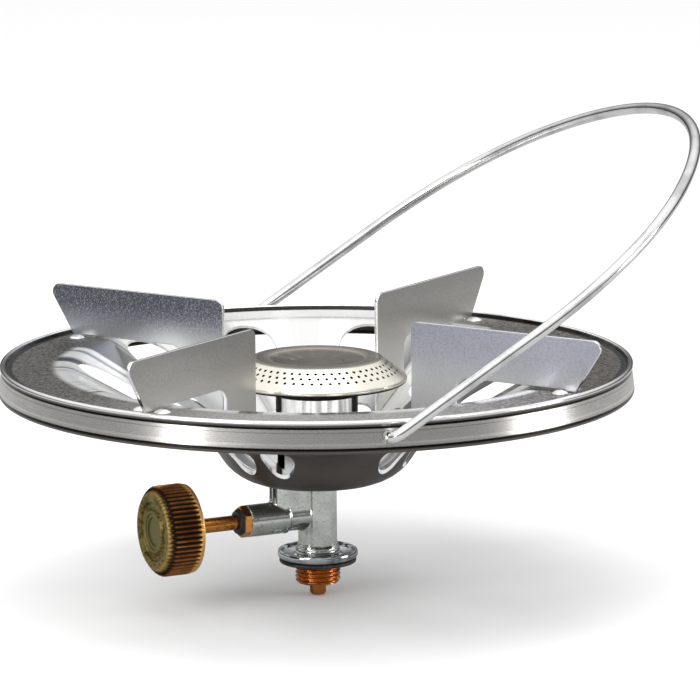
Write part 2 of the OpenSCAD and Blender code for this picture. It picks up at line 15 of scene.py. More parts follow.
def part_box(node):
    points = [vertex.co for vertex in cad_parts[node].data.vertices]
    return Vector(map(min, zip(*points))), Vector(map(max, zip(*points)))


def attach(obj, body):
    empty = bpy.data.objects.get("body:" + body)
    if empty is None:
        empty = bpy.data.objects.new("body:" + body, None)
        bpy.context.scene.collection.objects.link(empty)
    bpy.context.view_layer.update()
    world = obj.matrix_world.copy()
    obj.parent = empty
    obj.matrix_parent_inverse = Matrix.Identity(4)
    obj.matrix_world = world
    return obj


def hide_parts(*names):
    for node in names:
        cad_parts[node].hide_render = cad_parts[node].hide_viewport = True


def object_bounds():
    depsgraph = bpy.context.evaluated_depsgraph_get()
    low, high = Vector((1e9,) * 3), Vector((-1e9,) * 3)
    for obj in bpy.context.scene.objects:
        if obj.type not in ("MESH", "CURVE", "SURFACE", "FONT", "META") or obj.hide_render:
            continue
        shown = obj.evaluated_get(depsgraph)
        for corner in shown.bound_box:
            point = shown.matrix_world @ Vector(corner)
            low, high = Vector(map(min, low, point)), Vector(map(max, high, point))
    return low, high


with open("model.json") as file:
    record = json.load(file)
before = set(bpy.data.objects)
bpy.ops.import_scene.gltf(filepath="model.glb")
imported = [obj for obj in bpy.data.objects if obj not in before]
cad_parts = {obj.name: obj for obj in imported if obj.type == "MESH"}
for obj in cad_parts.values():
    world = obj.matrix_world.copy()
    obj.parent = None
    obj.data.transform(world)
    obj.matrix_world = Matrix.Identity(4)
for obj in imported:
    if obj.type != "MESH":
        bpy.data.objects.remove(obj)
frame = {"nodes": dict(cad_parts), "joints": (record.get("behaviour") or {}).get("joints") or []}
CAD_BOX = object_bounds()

LOG = logging.getLogger("stove")
MM = 0.001
UP = Vector((0.0, 0.0, 1.0))

Colour = tuple[float, float, float]
Socket = bpy.types.NodeSocket
Outline = list[tuple[float, float]]


class Body(str, Enum):
    """The moving groups of the stove."""

    STOVE = "stove"
    BAIL = "bail"
    SPINDLE = "spindle"
    KNOB = "knob"


class Slot(str, Enum):
    """The record's material slots, one passed with each new piece."""

    PLATE = "plate_steel"
    NICKEL = "nickel_casting"
    BRASS = "brass"
    RUBBER = "rubber"
    BRONZE = "bronze_plastic"
    COLLAR = "chromed_collar"


# Node sketching


class Sketch:
    """A material's node tree around one Principled shader, with short calls for its nodes."""

    def __init__(self, name: str) -> None:
        """Starts the material.

        Args:
            name: The material's name.
        """
        self.material = bpy.data.materials.new(name)
        self.material.use_nodes = True
        self.tree = self.material.node_tree
        self.shader = self.tree.nodes["Principled BSDF"]
        coordinates = self.add("ShaderNodeTexCoord")
        self.place: Socket = coordinates.outputs["Object"]
        self.facing: Socket = coordinates.outputs["Normal"]

    def add(self, kind: str, inputs: dict | None = None, **settings: object) -> bpy.types.Node:
        """Adds a node.

        Args:
            kind: Blender's name for the node type.
            inputs: What its inputs get, by name or number.
            **settings: Attributes to set on the node.

        Returns:
            The new node.
        """
        node = self.tree.nodes.new(kind)
        for key, value in settings.items():
            setattr(node, key, value)
        for key, value in (inputs or {}).items():
            self.feed(node.inputs[key], value)
        return node

    def feed(self, socket: Socket, value: object) -> None:
        """Links a socket to another one, or sets a plain value on it.

        Args:
            socket: The input.
            value: A socket, a number, a colour or a vector.
        """
        if isinstance(value, bpy.types.NodeSocket):
            self.tree.links.new(value, socket)
        elif socket.type == "RGBA":
            socket.default_value = (*value, 1.0)
        else:
            socket.default_value = value

    def fixed(self, **values: object) -> None:
        """Sets plain values on the shader's own sockets; underscores stand for spaces."""
        for key, value in values.items():
            self.feed(self.shader.inputs[key.replace("_", " ")], value)

    def drive(self, socket: str, value: Socket) -> None:
        """Links one of the shader's sockets to a varying value."""
        self.feed(self.shader.inputs[socket], value)

    def math(self, operation: str, a: object, b: object = 0.0, c: object = 0.0) -> Socket:
        """The result of a maths operation on one to three values."""
        return self.add("ShaderNodeMath", {0: a, 1: b, 2: c}, operation=operation).outputs[0]

    def times(self, a: object, b: object) -> Socket:
        """The product of two values."""
        return self.math("MULTIPLY", a, b)

    def line(self, value: object, slope: object, start: object) -> Socket:
        """A value times a slope, plus a start."""
        return self.math("MULTIPLY_ADD", value, slope, start)

    def most(self, a: object, b: object) -> Socket:
        """The larger of two values."""
        return self.math("MAXIMUM", a, b)

    def vector(self, operation: str, a: object, b: object = (0.0, 0.0, 0.0)) -> bpy.types.Node:
        """A vector operation on one or two vectors."""
        return self.add("ShaderNodeVectorMath", {0: a, 1: b}, operation=operation)

    def dot(self, a: object, b: object) -> Socket:
        """The dot product of two vectors."""
        return self.vector("DOT_PRODUCT", a, b).outputs["Value"]

    def product(self, a: object, b: object) -> Socket:
        """Two vectors multiplied part by part."""
        return self.vector("MULTIPLY", a, b).outputs["Vector"]

    def along_x(self, value: Socket) -> Socket:
        """A vector whose first part is a number, for textures that vary with it alone."""
        return self.add("ShaderNodeCombineXYZ", {0: value}).outputs[0]

    def step(self, value: object, low: float, high: float) -> Socket:
        """A smooth step from 0 at low to 1 at high; high may be below low.

        Args:
            value: The varying value.
            low: Where the step starts.
            high: Where it ends.

        Returns:
            A number from 0 to 1.
        """
        flipped = high < low
        inputs = {"Value": value, "From Min": min(low, high), "From Max": max(low, high),
                  "To Min": 1.0 if flipped else 0.0, "To Max": 0.0 if flipped else 1.0}
        kind = "ShaderNodeMapRange"
        return self.add(kind, inputs, interpolation_type="SMOOTHSTEP").outputs["Result"]

    def between(self, value: object, start: float, end: float, soft: float) -> Socket:
        """One inside start to end and nought outside, with soft edges."""
        inside = self.step(value, start - soft, start + soft)
        return self.times(inside, self.step(value, end + soft, end - soft))

    def noise(
        self, scale: float, detail: float = 2.0, rough: float = 0.5, at: Socket | None = None
    ) -> Socket:
        """Adds a noise texture.

        Args:
            scale: Cells in a metre.
            detail: Octaves.
            rough: Strength of the finer octaves.
            at: Where it is read; the object's own place by default.

        Returns:
            The noise, about 0.5 on average.
        """
        inputs = {"Vector": at or self.place, "Scale": scale, "Detail": detail,
                  "Roughness": rough}
        return self.add("ShaderNodeTexNoise", inputs).outputs["Fac"]

    def blend(self, factor: object, a: object, b: object) -> Socket:
        """Mixes two colours; factor is the share of b."""
        return self.add("ShaderNodeMix", {0: factor, 6: a, 7: b}, data_type="RGBA").outputs[2]

    def mix(self, factor: object, a: object, b: object) -> Socket:
        """Mixes two numbers; factor is the share of b."""
        return self.add("ShaderNodeMix", {0: factor, 2: a, 3: b}, data_type="FLOAT").outputs[0]

    def bump(self, height: object, depth: float, strength: float = 1.0) -> None:
        """Gives the shader a bump.

        Args:
            height: The varying height, 0 to 1.
            depth: Its full depth in metres.
            strength: How much of it shows.
        """
        inputs = {"Strength": strength, "Distance": depth, "Height": height}
        self.drive("Normal", self.add("ShaderNodeBump", inputs).outputs["Normal"])

    def radius(self) -> Socket:
        """Distance from the burner axis, in millimetres."""
        flat = self.product(self.place, (1.0 / MM, 1.0 / MM, 0.0))
        return self.vector("LENGTH", flat).outputs["Value"]

    def height(self) -> Socket:
        """Height above the gasket's underside, in millimetres."""
        return self.dot(self.place, (0.0, 0.0, 1.0 / MM))

    def around(self) -> Socket:
        """The unit vector from the burner axis, which changes only with the direction."""
        flat = self.product(self.place, (1.0, 1.0, 0.0))
        return self.vector("NORMALIZE", flat).outputs["Vector"]

    def spun(self, amount: float) -> None:
        """Gives the shader the fan-shaped gloss of metal spun about the burner axis."""
        tangent = self.add("ShaderNodeTangent", direction_type="RADIAL", axis="Z")
        self.fixed(Anisotropic=amount, Anisotropic_Rotation=0.25)
        self.feed(self.shader.inputs["Tangent"], tangent.outputs["Tangent"])


# Finishes


def faded(colour: Colour, share: float) -> Colour:
    """A colour with its strength scaled."""
    return tuple(share * part for part in colour)


@dataclass(frozen=True)
class DishSteel:
    """Pressed stainless sheet: bright, half-diffuse bowl with painted dark reflected streaks, grained ring
    with a painted highlight towards the back, satin band with painted shade and highlight lines, underside
    in painted shade.

    Attributes:
        rim: Radius of the bead's outside in millimetres.
        top: Height of the bead's top in millimetres.
        backwards: Direction, fixed in the object, in which the ring gets a painted highlight and the
            bowl's painted streaks fade.
        second_line: Start and end of the band's second, fainter painted shade line, below the crease.
        glint_line: Start and end of the painted highlight line, above the hem.
    """

    rim: float
    top: float
    bowl: Colour = (0.88, 0.88, 0.87)
    reflected_streak: Colour = (0.13, 0.13, 0.135)
    ring: Colour = (0.34, 0.325, 0.30)
    ring_speck: Colour = (0.035, 0.033, 0.031)
    band: Colour = (0.86, 0.84, 0.80)
    bead: Colour = (0.95, 0.95, 0.94)
    # Near-black painted shade for the crease, the groove and the hem's fold.
    crease: Colour = (0.012, 0.011, 0.010)
    underside_shade: Colour = (0.115, 0.104, 0.096)
    backwards: Colour = (0.216, 0.976, 0.0)
    ring_start: float = 92.5
    bead_width: float = 2.5
    bead_height: float = 2.1
    band_height: float = 11.2
    crease_width: float = 0.75
    second_line: tuple[float, float] = (2.0, 1.75)
    glint_line: tuple[float, float] = (3.0, 3.7)
    hem_fold: float = 2.4

    def lines(self, s: Sketch, colour: Socket, height: Socket) -> Socket:
        """Draws the band's lines: painted shade along the crease, a fainter painted shade line below it, a
        painted highlight line above the hem and painted shade on the hem's fold.

        Args:
            s: The material's sketch.
            colour: The band's colour.
            height: The height in millimetres.

        Returns:
            The colour with its lines.
        """
        crease, hem = self.top - self.bead_height, self.top - self.band_height
        soft = 0.12
        colour = s.blend(s.between(height, crease - self.crease_width, crease + soft, soft), colour,
                         self.crease)
        upper, lower = self.second_line
        second = s.between(height, crease - upper, crease - lower, soft)
        colour = s.blend(s.times(second, 0.45), colour, self.crease)
        glint = s.between(height, hem + self.glint_line[0], hem + self.glint_line[1], 0.3)
        colour = s.blend(s.times(glint, 0.7), colour, self.bead)
        return s.blend(s.step(height, hem + self.hem_fold, hem + self.hem_fold - 0.4), colour, self.crease)

    def make(self) -> bpy.types.Material:
        """Builds the material."""
        s = Sketch("dish_steel")
        radius, height = s.radius(), s.height()
        around = s.around()
        bead_start = self.rim - self.bead_width
        # Painted reflection: dark radial streaks in the bowl, thinned out towards the backwards direction.
        fan = s.noise(5.5, 1.5, 0.5, around)
        fine_fan = s.noise(24.0, 2.5, 0.65, around)
        to_back = s.dot(around, self.backwards)
        reflected_streaks = s.step(s.line(fine_fan, 0.5, fan), 0.68, 0.86)
        calm = s.line(s.step(to_back, 0.85, 0.97), -0.85, 1.0)
        reflected_streaks = s.times(reflected_streaks, calm)
        bowl = s.blend(s.times(reflected_streaks, 0.9), self.bowl, self.reflected_streak)
        grain = s.noise(1150.0, 3.0, 0.75)
        speck = s.step(grain, 0.40, 0.60)
        warm = s.step(s.dot(s.place, (1.0, 0.0, 0.0)), -0.06, 0.08)
        ring = s.blend(s.times(warm, 0.5), self.ring, (0.34, 0.285, 0.23))
        ring = s.blend(speck, ring, self.ring_speck)
        # Painted highlight: the ring takes the bowl's white towards the backwards direction, and a little
        # of it on the opposite side.
        bright = s.times(s.step(to_back, 0.72, 1.0), 0.9)
        bright = s.line(s.step(to_back, -0.6, -1.0), 0.3, bright)
        ring = s.blend(bright, ring, self.bowl)
        # The bowl's white reaches a little way out onto the flat ring, a painted highlight on its inner
        # edge.
        on_ring = s.between(radius, self.ring_start, bead_start, 1.6)
        colour = s.blend(on_ring, bowl, ring)
        # Painted shade: a near-black ring in the groove at the foot of the bead.
        groove = s.between(radius, bead_start - 1.9, bead_start + 1.0, 0.3)
        colour = s.blend(groove, colour, self.crease)
        # Painted highlight: the tops of the ring's raised domes take the bead's white.
        dome_highlight = s.times(s.step(height, self.top - 1.4, self.top - 1.25),
                      s.step(radius, bead_start - 1.5, bead_start - 2.0))
        colour = s.blend(dome_highlight, colour, self.bead)
        outside = s.step(radius, bead_start + 0.5, bead_start + 0.8)
        edge = self.top - self.bead_height
        below_bead = s.times(outside, s.step(height, edge + 0.3, edge))
        colour = s.blend(outside, colour, self.bead)
        brushed = s.noise(90.0, 3.0, 0.6, s.product(s.place, (1.0, 1.0, 14.0)))
        band = s.blend(brushed, self.band, faded(self.band, 0.6))
        colour = s.blend(below_bead, colour, self.lines(s, band, height))
        # Painted shade: faces that look down, and the band's inside under the bead, take a dark brown with
        # faint mottling.
        down = s.step(s.dot(s.facing, (0.0, 0.0, 1.0)), -0.05, -0.3)
        inward = s.times(
            s.step(s.dot(s.facing, around), -0.2, -0.6),
            s.step(radius, bead_start - 1.0, bead_start),
        )
        inward = s.times(inward, s.step(height, edge + 0.2, edge - 0.4))
        shaded_faces = s.most(down, inward)
        shade_mottle = s.noise(38.0, 3.0, 0.6)
        underside_shade = s.blend(shade_mottle, self.underside_shade, faded(self.underside_shade, 1.9))
        colour = s.blend(shaded_faces, colour, underside_shade)
        s.drive("Base Color", colour)
        rough = s.mix(on_ring, s.line(fan, 0.10, 0.15), s.mix(speck, 0.34, 0.5))
        rough = s.mix(outside, rough, 0.13)
        rough = s.mix(below_bead, rough, s.line(brushed, 0.10, 0.22))
        s.drive("Roughness", s.mix(shaded_faces, rough, 0.38))
        s.bump(s.times(grain, s.line(on_ring, 0.85, 0.06)), 0.00006)
        # Painted brightness: the bowl and the ring's painted highlight are only half metallic, so they
        # show a diffuse white under any light; streaks, bead, band and shaded faces stay fully metallic.
        satin = s.mix(s.times(on_ring, s.math("SUBTRACT", 1.0, bright)), 0.5, 1.0)
        solid = s.most(s.most(shaded_faces, outside), reflected_streaks)
        s.drive("Metallic", s.most(satin, solid))
        s.spun(0.5)
        return s.material


@dataclass(frozen=True)
class PlateSteel:
    """Rolled, blasted-looking sheet of the pot supports with a painted highlight along the rounded edges.
    """

    cool: Colour = (0.47, 0.48, 0.56)
    neutral: Colour = (0.44, 0.43, 0.40)
    blue: Colour = (0.40, 0.42, 0.47)
    speck: Colour = (0.24, 0.24, 0.25)
    back_speck: Colour = (0.06, 0.065, 0.08)
    light: Colour = (0.68, 0.68, 0.64)
    # Near-white of the painted edge highlight.
    edge: Colour = (0.95, 0.95, 0.96)

    def make(self) -> bpy.types.Material:
        """Builds the material."""
        s = Sketch("pot_support_steel")
        cloud = s.noise(17.0, 2.0, 0.5)
        grain = s.noise(1700.0, 3.0, 0.7)
        # Each plate's tone follows its place round the burner: neutral, cool or blue.
        diagonal = s.dot(s.place, (0.707, -0.707, 0.0))
        colour = s.blend(s.step(diagonal, 0.01, 0.04), self.neutral, self.cool)
        back = s.step(diagonal, -0.01, -0.04)
        colour = s.blend(back, colour, self.blue)
        coarse = s.step(grain, 0.45, 0.65)
        colour = s.blend(s.times(coarse, 0.5), colour, self.speck)
        # Lighter towards the bottom in cloudy patches, darker near the top away from the cool plate, with
        # dark speckle high on the back plates.
        height = s.height()
        lifted = s.line(cloud, 16.0, height)
        colour = s.blend(s.times(s.step(lifted, 90.0, 74.0), 0.6), colour, self.light)
        top_darkening = s.times(s.step(lifted, 90.0, 98.0), s.step(diagonal, 0.03, 0.01))
        colour = s.blend(s.times(top_darkening, 0.35), colour, self.speck)
        upper = s.step(height, 74.0, 86.0)
        dark = s.times(s.times(back, upper), s.step(grain, 0.36, 0.52))
        colour = s.blend(s.times(dark, 0.8), colour, self.back_speck)
        # Painted highlight: the rounded edge faces take a near-white, glossier colour.
        painted_light_mask = s.add("ShaderNodeAttribute", attribute_name="painted_light_mask").outputs["Fac"]
        s.drive("Base Color", s.blend(painted_light_mask, colour, self.edge))
        s.drive("Roughness", s.mix(painted_light_mask, s.line(cloud, 0.1, 0.30), 0.2))
        s.bump(grain, 0.00003, 0.8)
        s.fixed(Metallic=1.0)
        return s.material


@dataclass(frozen=True)
class Chrome:
    """Chromium plate over drawn wire, tube or a pressed washer.

    Attributes:
        inside: Near-black painted shade inside a tube and the colour of the painted dark reflections down
            its two sides, or nothing for solid pieces.
        sideways: Direction, fixed in the object, of one of the two painted dark reflections.
    """

    name: str
    colour: Colour = (0.90, 0.90, 0.90)
    dull: Colour = (0.62, 0.62, 0.63)
    gloss: float = 0.09
    inside: Colour | None = None
    sideways: Colour = (0.976, -0.216, 0.0)

    def make(self) -> bpy.types.Material:
        """Builds the material."""
        s = Sketch(self.name)
        patches = s.noise(70.0, 3.0, 0.6)
        pits = s.step(s.noise(1400.0, 2.0, 0.6), 0.62, 0.74)
        tone = s.blend(s.step(patches, 0.42, 0.72), self.colour, self.dull)
        tone = s.blend(s.times(pits, 0.35), tone, (0.3, 0.3, 0.3))
        rough = s.line(patches, 0.12, self.gloss - 0.03)
        if self.inside:
            inner = s.step(s.dot(s.facing, s.around()), -0.15, -0.4)
            # Painted reflection: two dark upright strips down the tube's sides, facing along sideways and
            # against it.
            toward_painted_sides = s.math("ABSOLUTE", s.dot(s.around(), self.sideways))
            inner = s.most(inner, s.step(toward_painted_sides, 0.82, 0.87))
            tone = s.blend(inner, tone, self.inside)
            rough = s.mix(inner, rough, 0.6)
        s.drive("Base Color", tone)
        s.drive("Roughness", rough)
        s.bump(patches, 0.00004, 0.25)
        s.fixed(Metallic=1.0)
        return s.material


@dataclass(frozen=True)
class BurnerSteel:
    """Burner head: creamy bright side, dull ringed hollow on top, painted shade in the ports and on faces
    that look down.

    Attributes:
        crown_height: Height of the raised top ring in millimetres.
        port_end: Radius at which the ported slope ends, in millimetres.
    """

    crown_height: float
    side: Colour = (0.93, 0.89, 0.79)
    top: Colour = (0.20, 0.175, 0.15)
    rim: Colour = (0.36, 0.33, 0.285)
    # Near-black painted shade for the ports and the faces that look down.
    port_and_underside_shade: Colour = (0.022, 0.018, 0.015)
    crown_radius: float = 23.0
    hollow_radius: float = 16.5
    port_end: float = 30.3

    def make(self) -> bpy.types.Material:
        """Builds the material."""
        s = Sketch("burner_steel")
        radius, height = s.radius(), s.height()
        around = s.around()
        rings = s.noise(0.9, 4.0, 0.7, s.along_x(radius))
        fan = s.noise(3.0, 2.0, 0.5, around)
        top = s.blend(s.step(radius, self.hollow_radius - 1.5, self.hollow_radius + 2.0),
                      self.top, self.rim)
        top = s.blend(s.step(rings, 0.45, 0.62), top, faded(self.top, 0.6))
        top = s.blend(s.times(s.step(fan, 0.5, 0.7), 0.5), top, self.rim)
        on_top = s.times(
            s.step(radius, self.crown_radius + 0.7, self.crown_radius - 0.1),
            s.step(height, self.crown_height - 0.6, self.crown_height - 0.1),
        )
        hollow = s.times(s.step(radius, self.hollow_radius + 1.0, self.hollow_radius),
                        s.step(height, self.crown_height - 2.6, self.crown_height - 2.0))
        on_top = s.most(on_top, hollow)
        colour = s.blend(on_top, self.side, top)
        # Painted shade: the port walls and every face that looks down, such as under the lip, go
        # near-black.
        outwards = s.dot(s.facing, around)
        upwards = s.dot(s.facing, (0.0, 0.0, 1.0))
        off_slope = s.line(outwards, 0.6, s.times(upwards, 0.8))
        port = s.times(s.step(off_slope, 0.75, 0.45),
                      s.between(radius, self.crown_radius + 0.3, self.port_end, 0.1))
        inner = s.most(s.step(upwards, -0.15, -0.4), port)
        s.drive("Base Color", s.blend(inner, colour, self.port_and_underside_shade))
        rough = s.mix(on_top, s.line(fan, 0.1, 0.22), 0.33)
        s.drive("Roughness", s.mix(inner, rough, 0.7))
        s.bump(rings, 0.00008, 0.5)
        s.fixed(Metallic=1.0)
        s.spun(0.4)
        return s.material


@dataclass(frozen=True)
class NickelCasting:
    """Nickel-plated casting with a fine cast skin."""

    light: Colour = (0.78, 0.82, 0.77)
    dark: Colour = (0.33, 0.36, 0.33)

    def make(self) -> bpy.types.Material:
        """Builds the material."""
        s = Sketch("nickel_casting")
        skin = s.noise(1350.0, 4.0, 0.65)
        cloud = s.noise(150.0, 2.0, 0.5)
        tone = s.blend(s.step(cloud, 0.35, 0.7), self.light, faded(self.light, 0.8))
        s.drive("Base Color", s.blend(s.step(skin, 0.52, 0.72), tone, self.dark))
        s.drive("Roughness", s.line(skin, 0.22, 0.08))
        s.bump(skin, 0.00008, 0.5)
        s.fixed(Metallic=1.0)
        return s.material


@dataclass(frozen=True)
class TurnedBrass:
    """Turned copper-coloured brass with tool marks and dark tarnish."""

    name: str
    light: Colour = (0.80, 0.345, 0.095)
    dark: Colour = (0.07, 0.022, 0.007)
    tarnish: float = 0.5

    def make(self) -> bpy.types.Material:
        """Builds the material."""
        s = Sketch(self.name)
        marks = s.noise(420.0, 3.0, 0.7)
        blotch = s.noise(130.0, 3.0, 0.6)
        dirt = s.times(s.step(s.math("ADD", marks, blotch), 0.98, 1.25), self.tarnish)
        s.drive("Base Color", s.blend(dirt, self.light, self.dark))
        s.drive("Roughness", s.mix(dirt, 0.2, 0.42))
        s.bump(marks, 0.00006, 0.5)
        s.fixed(Metallic=1.0)
        return s.material


@dataclass(frozen=True)
class Rubber:
    """Black rubber with a faint bloom."""

    name: str = "black_rubber"
    black: Colour = (0.012, 0.012, 0.012)
    bloom: Colour = (0.045, 0.044, 0.042)

    def make(self) -> bpy.types.Material:
        """Builds the material."""
        s = Sketch(self.name)
        bloom = s.noise(260.0, 4.0, 0.7)
        s.drive("Base Color", s.blend(s.step(bloom, 0.45, 0.7), self.black, self.bloom))
        s.drive("Roughness", s.line(bloom, 0.3, 0.35))
        s.bump(s.noise(2200.0, 2.0), 0.00003, 0.7)
        return s.material


@dataclass(frozen=True)
class KnobBronze:
    """Metallized knob: painted shade in the grooves, reddish-brown ribs with painted gold highlights near
    the back and on the front edge, olive-gold face.

    Attributes:
        start: Middle of the knob's back face.
        axis: Direction from the back to the face.
        length: Length of the knob in millimetres.
        tip: Radius over the ribs in millimetres.
        groove: Depth of the grooves in millimetres.
    """

    start: Vector
    axis: Vector
    length: float
    tip: float
    groove: float
    ridge: Colour = (0.31, 0.125, 0.036)
    # Near-black painted shade for the grooves.
    dark: Colour = (0.028, 0.010, 0.004)
    # Gold for the painted highlights on the rib tips and the front edge.
    gold: Colour = (0.90, 0.52, 0.16)
    face: Colour = (0.25, 0.20, 0.058)
    face_dark: Colour = (0.08, 0.052, 0.014)
    centre: Colour = (0.19, 0.17, 0.065)

    def make(self) -> bpy.types.Material:
        """Builds the material."""
        s = Sketch("knob_bronze")
        offset = s.vector("SUBTRACT", s.place, tuple(self.start)).outputs["Vector"]
        along = s.times(s.dot(offset, tuple(self.axis)), 1.0 / MM)
        square = s.times(s.dot(offset, offset), 1.0 / MM**2)
        radius = s.math("SQRT", s.math("SUBTRACT", square, s.times(along, along)))
        grain = s.noise(850.0, 4.0, 0.7)
        cloud = s.noise(160.0, 3.0, 0.6)
        # Painted shade: the grooves between the ribs go near-black; the crests keep the ribs' own colour.
        painted_light_mask = s.step(radius, self.tip - self.groove + 0.1, self.tip - 0.15)
        side = s.blend(painted_light_mask, self.dark, s.blend(s.step(cloud, 0.4, 0.65), self.ridge,
                                                faded(self.ridge, 0.6)))
        # Painted highlight: gold on the rib tips near the knob's back.
        tip_highlight = s.times(painted_light_mask, s.step(along, 3.2, 1.6))
        side = s.blend(tip_highlight, side, self.gold)
        face = s.blend(s.step(s.line(cloud, 0.35, s.times(grain, 0.65)),
                              0.45, 0.58), self.face, self.face_dark)
        face = s.blend(s.step(radius, 7.6, 6.8), face, self.centre)
        on_face = s.times(s.step(along, self.length - 2.5, self.length - 1.6),
                         s.step(radius, self.tip - 1.2, self.tip - 2.2))
        # Painted highlight: a faint gold ring on the face's front edge.
        front_edge = s.times(s.between(radius, self.tip - 3.0, self.tip - 1.9, 0.35),
                            s.step(along, self.length - 1.2, self.length - 0.5))
        colour = s.blend(on_face, side, face)
        colour = s.blend(s.times(front_edge, 0.3), colour, self.gold)
        s.drive("Base Color", colour)
        s.drive("Roughness", s.mix(painted_light_mask, 0.5, s.line(grain, 0.2, 0.22)))
        s.bump(s.times(grain, s.line(on_face, 0.8, 0.2)), 0.00015, 0.7)
        s.fixed(Metallic=0.85)
        return s.material


@dataclass(frozen=True)
class PlainMetal:
    """Plain small hardware metal with faint marks."""

    name: str
    light: Colour
    dark: Colour
    roughness: float = 0.3
    scale: float = 600.0

    def make(self) -> bpy.types.Material:
        """Builds the material."""
        s = Sketch(self.name)
        marks = s.noise(self.scale, 3.0, 0.7)
        s.drive("Base Color", s.blend(s.step(marks, 0.42, 0.65), self.light, self.dark))
        s.drive("Roughness", s.line(marks, 0.2, self.roughness - 0.1))
        s.bump(marks, 0.00005, 0.5)
        s.fixed(Metallic=1.0)
        return s.material


# Mesh making


def mark_sharp(bm: bmesh.types.BMesh, degrees: float = 32.0) -> None:
    """Shades every face smooth and marks the edges that are sharper than an angle.

    Args:
        bm: The mesh.
        degrees: The angle above which an edge stays sharp.
    """
    limit = math.radians(degrees)
    for face in bm.faces:
        face.smooth = True
    for edge in bm.edges:
        edge.smooth = len(edge.link_faces) == 2 and edge.calc_face_angle(0.0) < limit


def linked(name: str, data: bpy.types.ID) -> bpy.types.Object:
    """A new object in the scene that holds the given data."""
    made = bpy.data.objects.new(name, data)
    bpy.context.scene.collection.objects.link(made)
    return made


def as_object(bm: bmesh.types.BMesh, name: str) -> bpy.types.Object:
    """Turns a finished bmesh into an object.

    Args:
        bm: The mesh, already in place; it is freed.
        name: The name of the object and of its mesh.

    Returns:
        The new object.
    """
    mesh = bpy.data.meshes.new(name)
    bm.to_mesh(mesh)
    bm.free()
    return linked(name, mesh)


def draw_in(vert: bmesh.types.BMVert, depth: float) -> None:
    """Moves a point straight towards the Z axis.

    Args:
        vert: The point.
        depth: How far it moves.
    """
    radius = math.hypot(vert.co.x, vert.co.y)
    scale = (radius - depth) / radius
    vert.co.x *= scale
    vert.co.y *= scale


def place_piece(
    bm: bmesh.types.BMesh,
    name: str,
    material: bpy.types.Material,
    body: Body,
    slot: Slot,
    stands_for: Sequence[str],
    flat_faces: bool = False,
) -> bpy.types.Object:
    """Turns a finished bmesh into a piece of the stove.

    Args:
        bm: The mesh, already in place; it is freed.
        name: The piece's name.
        material: Its finish.
        body: The body that it rides on.
        slot: The record's material slot; not used.
        stands_for: The CAD nodes that it replaces.
        flat_faces: Whether its large faces should read flat beside rounded edges.

    Returns:
        The new object.
    """
    piece = as_object(bm, name)
    piece.data.materials.append(material)
    if flat_faces:
        weighted = piece.modifiers.new("flat_faces", "WEIGHTED_NORMAL")
        weighted.keep_sharp = True
        weighted.weight = 100
    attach(piece, body.value)
    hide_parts(*stands_for)
    return piece


def dress(node: str, material: bpy.types.Material) -> bpy.types.Object:
    """Gives a CAD node that stays in view its finish.

    Args:
        node: The node's name.
        material: Its finish.

    Returns:
        The node's object.
    """
    piece = frame["nodes"][node]
    for slot in piece.material_slots:
        slot.material = material
    return piece


def spun_shell(outline: Outline, steps: int) -> bmesh.types.BMesh:
    """Spins a closed outline about Z into a closed shell.

    Args:
        outline: Pairs of radius and height in metres, in order, all off the axis.
        steps: Faces round the axis.

    Returns:
        The shell.
    """
    bm = bmesh.new()
    verts = [bm.verts.new((radius, 0.0, height)) for radius, height in outline]
    edges = [bm.edges.new((a, b)) for a, b in zip(verts, verts[1:] + verts[:1])]
    bmesh.ops.spin(
        bm, geom=verts + edges, axis=UP, cent=(0.0, 0.0, 0.0), angle=math.tau, steps=steps,
        use_merge=True,
    )
    bmesh.ops.remove_doubles(bm, verts=bm.verts, dist=1e-7)
    bmesh.ops.recalc_face_normals(bm, faces=bm.faces)
    return bm


def rounded(outline: Outline, radius: float, segments: int = 4) -> Outline:
    """Rounds each corner of a closed outline.

    Args:
        outline: Pairs in metres, in order.
        radius: The largest rounding; it is limited by the neighbouring sides.
        segments: Pieces in each rounding.

    Returns:
        The rounded outline.
    """
    result: Outline = []
    count = len(outline)
    for i, point in enumerate(outline):
        here = Vector(point)
        before = Vector(outline[i - 1]) - here
        after = Vector(outline[(i + 1) % count]) - here
        reach = min(radius, 0.45 * before.length, 0.45 * after.length)
        start = here + before.normalized() * reach
        end = here + after.normalized() * reach
        for k in range(segments + 1):
            t = k / segments
            at = (1 - t) ** 2 * start + 2 * t * (1 - t) * here + t * t * end
            result.append((at.x, at.y))
    return result


def merged_copy(node: str) -> bmesh.types.BMesh:
    """A copy of a CAD node's mesh with its loose triangles joined and its flat faces whole.

    Args:
        node: The node's name.

    Returns:
        The copy.
    """
    bm = bmesh.new()
    bm.from_mesh(frame["nodes"][node].data)
    bmesh.ops.remove_doubles(bm, verts=bm.verts, dist=2e-6)
    bmesh.ops.dissolve_limit(
        bm, angle_limit=math.radians(0.5), verts=bm.verts, edges=bm.edges
    )
    return bm


# The stove


def extent(node: str, axis: Vector) -> tuple[float, float]:
    """How far a CAD node reaches along an axis through the origin.

    Args:
        node: The node's name.
        axis: Unit vector.

    Returns:
        Its nearest and farthest distances.
    """
    reach = [vert.co.dot(axis) for vert in frame["nodes"][node].data.vertices]
    return min(reach), max(reach)


@dataclass
class Dish:
    """The pressed dish with its rim, ring, bowl and vents."""

    flare: float = 0.5 * MM

    def build(self) -> list[bpy.types.Object]:
        """Dresses the dish."""
        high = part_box("dish")[1]
        steel = DishSteel(rim=(high.x - self.flare) / MM, top=high.z / MM)
        return [dress("dish", steel.make())]


